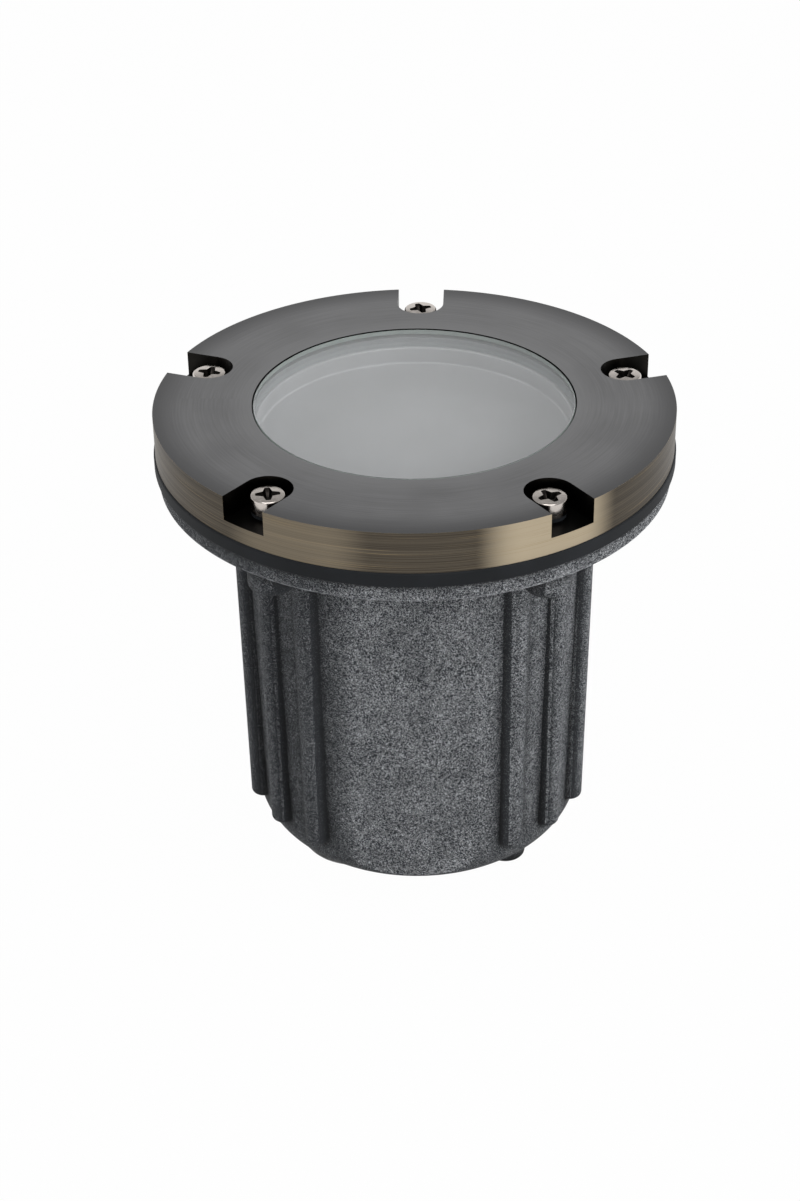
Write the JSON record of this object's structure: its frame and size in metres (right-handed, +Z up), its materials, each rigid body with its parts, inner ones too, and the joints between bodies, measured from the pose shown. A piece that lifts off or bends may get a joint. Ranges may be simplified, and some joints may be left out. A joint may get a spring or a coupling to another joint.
{
  "type": "in ground well light",
  "caption": "In ground well light: a ribbed composite canister with a cable gland, a rubber gasket and a slotted bronze cover ring over a flush lens and a tilting lamp.",
  "frame": {"origin": "on the axis of the light, at the level of the undersides of its feet", "axes": "+Z up out of the ground through the lens; -Y is the front in the picture, the middle of a flat of the body; one cover screw lies at +Y"},
  "size_m": [0.161, 0.161, 0.16],
  "materials": {
    "composite": "moulded, glass fibre filled, dark grey",
    "bronze": "satin, dark antique finish with bright worn edges",
    "rubber": "moulded, matt black",
    "nylon": "moulded, black",
    "grey_plastic": "moulded, grey",
    "silicone": "moulded, pale and translucent",
    "white_plastic": "moulded, off-white",
    "frosted_plastic": "frosted, translucent",
    "clear_glass": "polished, clear",
    "lamp_glass": "pressed, mirror coated inside",
    "ceramic": "glazed, cream",
    "stainless": "polished, bright",
    "zinc_steel": "zinc plated",
    "cast_aluminium": "cast, plain",
    "brass": "machined"
  },
  "bodies": {
    "well": {"housing": "composite", "housing_flange": "composite", "screw_lugs": "composite", "feet": "composite", "plate_standoffs": "zinc_steel", "threaded_inserts": "brass", "rim_gasket": "rubber", "gland_body": "nylon", "gland_washer": "rubber", "gland_locknut": "nylon", "gland_seal": "rubber", "mounting_plate": "zinc_steel", "plate_screws": "stainless", "plate_grommet": "rubber", "terminal_block": "white_plastic", "terminal_screws": "brass", "pivot_bolt": "stainless", "pivot_nut": "stainless", "pivot_washer": "stainless", "friction_washer": "white_plastic"},
    "cover": {"cover_ring": "bronze", "lens_glass": "clear_glass", "lens_seal": "rubber", "lens_gasket": "silicone", "diffuser": "frosted_plastic", "lens_retainer": "grey_plastic", "retainer_screws": "stainless", "screw_washers": "stainless", "screw_seals": "rubber"},
    "screw_1": {"cover_screw_1": "stainless"},
    "screw_2": {"cover_screw_2": "stainless"},
    "screw_3": {"cover_screw_3": "stainless"},
    "screw_4": {"cover_screw_4": "stainless"},
    "screw_5": {"cover_screw_5": "stainless"},
    "gland_cap": {"gland_nut": "nylon"},
    "yoke_frame": {"yoke": "zinc_steel"},
    "lamp_head": {"lamp_ring": "cast_aluminium", "lamp_body": "lamp_glass", "lamp_lens": "clear_glass", "lamp_capsule": "lamp_glass", "lamp_clip": "stainless", "lamp_pins": "brass", "lamp_socket": "ceramic", "tilt_screws": "stainless", "tilt_washers": "white_plastic"}
  },
  "joints": [
    {"name": "cover_lift", "type": "slide", "parent": "well", "child": "cover", "axis": [0, 0, 1], "range_m": [0, 0.06]},
    {"name": "cover_screw_1_turn", "type": "hinge", "parent": "cover", "child": "screw_1", "pos_m": [0, 0.0687, 0.1565], "axis": [0, 0, 1], "continuous": true},
    {"name": "cover_screw_2_turn", "type": "hinge", "parent": "cover", "child": "screw_2", "pos_m": [-0.06534, 0.02123, 0.1565], "axis": [0, 0, 1], "continuous": true},
    {"name": "cover_screw_3_turn", "type": "hinge", "parent": "cover", "child": "screw_3", "pos_m": [-0.04038, -0.05558, 0.1565], "axis": [0, 0, 1], "continuous": true},
    {"name": "cover_screw_4_turn", "type": "hinge", "parent": "cover", "child": "screw_4", "pos_m": [0.04038, -0.05558, 0.1565], "axis": [0, 0, 1], "continuous": true},
    {"name": "cover_screw_5_turn", "type": "hinge", "parent": "cover", "child": "screw_5", "pos_m": [0.06534, 0.02123, 0.1565], "axis": [0, 0, 1], "continuous": true},
    {"name": "gland_nut_turn", "type": "hinge", "parent": "well", "child": "gland_cap", "pos_m": [-0.02063, -0.01083, 0.004], "axis": [0, 0, 1], "continuous": true},
    {"name": "yoke_turn", "type": "hinge", "parent": "well", "child": "yoke_frame", "pos_m": [0, 0, 0.0547], "axis": [0, 0, 1], "range_deg": [-170, 170]},
    {"name": "lamp_tilt", "type": "hinge", "parent": "yoke_frame", "child": "lamp_head", "pos_m": [0, 0, 0.118], "axis": [1, 0, 0], "range_deg": [-20, 20]}
  ]
}
